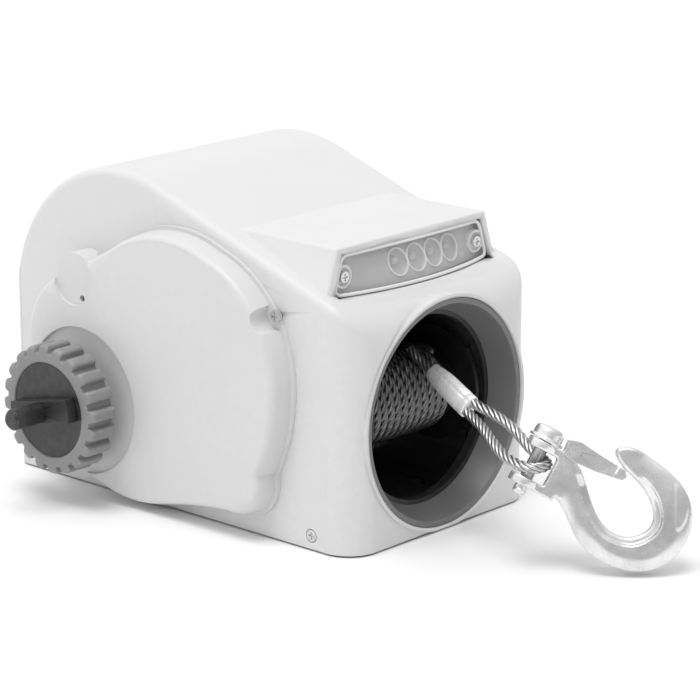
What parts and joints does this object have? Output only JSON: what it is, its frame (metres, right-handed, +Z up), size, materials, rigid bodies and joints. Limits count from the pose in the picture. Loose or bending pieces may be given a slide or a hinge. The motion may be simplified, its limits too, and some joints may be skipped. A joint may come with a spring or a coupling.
{
  "type": "wire rope puller",
  "caption": "Portable electric wire rope puller: drum and gears in a plastic housing with a clutch knob, crank shaft, front light, round rope mouth and a clevis hook with a latch.",
  "frame": {"origin": "middle of the four mounting holes, on the underside of the base plate", "axes": "-Y out of the rope mouth, +Z up, -X towards the gear cover and clutch knob"},
  "size_m": [0.282, 0.5202, 0.239],
  "materials": {
    "white_plastic": "fine satin grain",
    "cover_plastic": "fine satin grain",
    "grey_plastic": "satin",
    "black_plastic": "satin",
    "dark_plastic": "satin",
    "knob_plastic": "satin",
    "base_steel": "powder coat",
    "zinc_screw": "zinc plated",
    "zinc_bright": "zinc plated, slightly brushed",
    "clear_lens": "clear",
    "reflector": "semi gloss",
    "lamp_white": "gloss",
    "frame_steel": "mill finish",
    "shaft_steel": "ground",
    "gear_steel": "machined",
    "drum_steel": "dark paint",
    "dark_steel": "black oxide",
    "bronze": "sintered",
    "motor_paint": "black paint",
    "lead_cover": "pvc",
    "rope_steel": "galvanised"
  },
  "bodies": {
    "housing": {"housing_shell": "white_plastic", "rear_cover": "white_plastic", "gear_cover": "cover_plastic", "cover_screws": "zinc_screw", "housing_screws": "zinc_screw", "base_plate": "base_steel", "mouth_bezel": "grey_plastic", "mouth_guide": "black_plastic", "light_lens": "clear_lens", "light_reflector": "reflector", "led_lamps": "lamp_white", "lens_screws": "zinc_screw", "frame_left": "frame_steel", "frame_right": "frame_steel", "tie_rods": "shaft_steel", "rod_nuts": "zinc_screw", "axle_bush_left": "bronze", "axle_bush_right": "bronze", "power_inlet": "black_plastic", "remote_socket": "black_plastic", "breaker_body": "black_plastic", "switch_frame": "black_plastic", "motor_can": "motor_paint", "motor_end_cap": "black_plastic", "motor_magnets": "frame_steel", "motor_screws": "zinc_screw", "motor_leads": "lead_cover", "lamp_lead": "lead_cover", "gear_pins": "shaft_steel", "pin_clips": "shaft_steel", "clutch_spring": "shaft_steel", "rope_tail": "rope_steel", "ferrule": "zinc_bright", "rope_eye": "rope_steel"},
    "drum_turning": {"drum": "drum_steel", "drum_gear": "gear_steel", "drum_axle": "shaft_steel", "axle_clip": "shaft_steel", "rope_winding": "rope_steel"},
    "gear_one_turning": {"gear_one": "gear_steel"},
    "gear_two_turning": {"gear_two": "gear_steel"},
    "crank_turning": {"crank_shaft": "dark_steel", "crank_gear": "gear_steel", "crank_dog": "dark_plastic"},
    "motor_turning": {"motor_shaft": "shaft_steel", "motor_pinion": "gear_steel", "motor_armature": "frame_steel"},
    "clutch_knob": {"knob_ring": "knob_plastic", "knob_cap": "dark_plastic"},
    "clutch_sliding": {"clutch_sleeve": "shaft_steel"},
    "switch_rocker": {"light_switch": "dark_plastic"},
    "breaker_push": {"breaker_button": "dark_plastic"},
    "hook": {"hook_body": "zinc_bright", "clevis_pin": "zinc_bright", "cotter_pin": "zinc_bright", "latch_pin": "zinc_bright", "latch_spring": "shaft_steel"},
    "latch": {"hook_latch": "zinc_bright"}
  },
  "joints": [
    {"name": "crank_turn", "type": "hinge", "parent": "housing", "child": "crank_turning", "pos_m": [-0.1, 0.064, 0.071], "axis": [1, 0, 0], "continuous": true},
    {"name": "drum_turn", "type": "hinge", "parent": "housing", "child": "drum_turning", "pos_m": [0, -0.118, 0.084], "axis": [1, 0, 0], "continuous": true},
    {"name": "gear_one_turn", "type": "hinge", "parent": "housing", "child": "gear_one_turning", "pos_m": [-0.08, -0.06601, 0.09131], "axis": [1, 0, 0], "continuous": true},
    {"name": "gear_two_turn", "type": "hinge", "parent": "housing", "child": "gear_two_turning", "pos_m": [-0.09, 0.00222, 0.08952], "axis": [1, 0, 0], "continuous": true},
    {"name": "motor_turn", "type": "hinge", "parent": "housing", "child": "motor_turning", "pos_m": [0, 0.08801, 0.10454], "axis": [1, 0, 0], "continuous": true},
    {"name": "clutch_turn", "type": "hinge", "parent": "housing", "child": "clutch_knob", "pos_m": [-0.14, 0.064, 0.071], "axis": [-1, 0, 0], "range_deg": [0, 180]},
    {"name": "clutch_slide", "type": "slide", "parent": "housing", "child": "clutch_sliding", "axis": [-1, 0, 0], "range_m": [0, 0.006]},
    {"name": "switch_rock", "type": "hinge", "parent": "housing", "child": "switch_rocker", "pos_m": [-0.04, 0.153, 0.042], "axis": [1, 0, 0], "range_deg": [0, 18]},
    {"name": "breaker_press", "type": "slide", "parent": "housing", "child": "breaker_push", "axis": [0, -1, 0], "range_m": [0, 0.0025], "stiffness_N_per_m": 400},
    {"name": "hook_swing", "type": "hinge", "parent": "housing", "child": "hook", "pos_m": [-0.0176, -0.2722, 0.0759], "axis": [0.4917, -0.1909, 0.8496], "range_deg": [-40, 40]},
    {"name": "latch_open", "type": "hinge", "parent": "hook", "child": "latch", "pos_m": [0.00021, -0.29004, 0.08041], "axis": [0.7148, 0.6457, -0.2687], "range_deg": [0, 25], "stiffness_Nm_per_rad": 0.05, "springref_deg": -22.92}
  ],
  "couplings": [
    {"joint": "motor_turn", "follows": "crank_turn", "ratio": -4.5},
    {"joint": "gear_two_turn", "follows": "crank_turn", "ratio": -0.3871},
    {"joint": "gear_one_turn", "follows": "crank_turn", "ratio": 0.084677},
    {"joint": "drum_turn", "follows": "crank_turn", "ratio": -0.042339},
    {"joint": "clutch_slide", "follows": "clutch_turn", "m_per_rad": 0.001878}
  ]
}
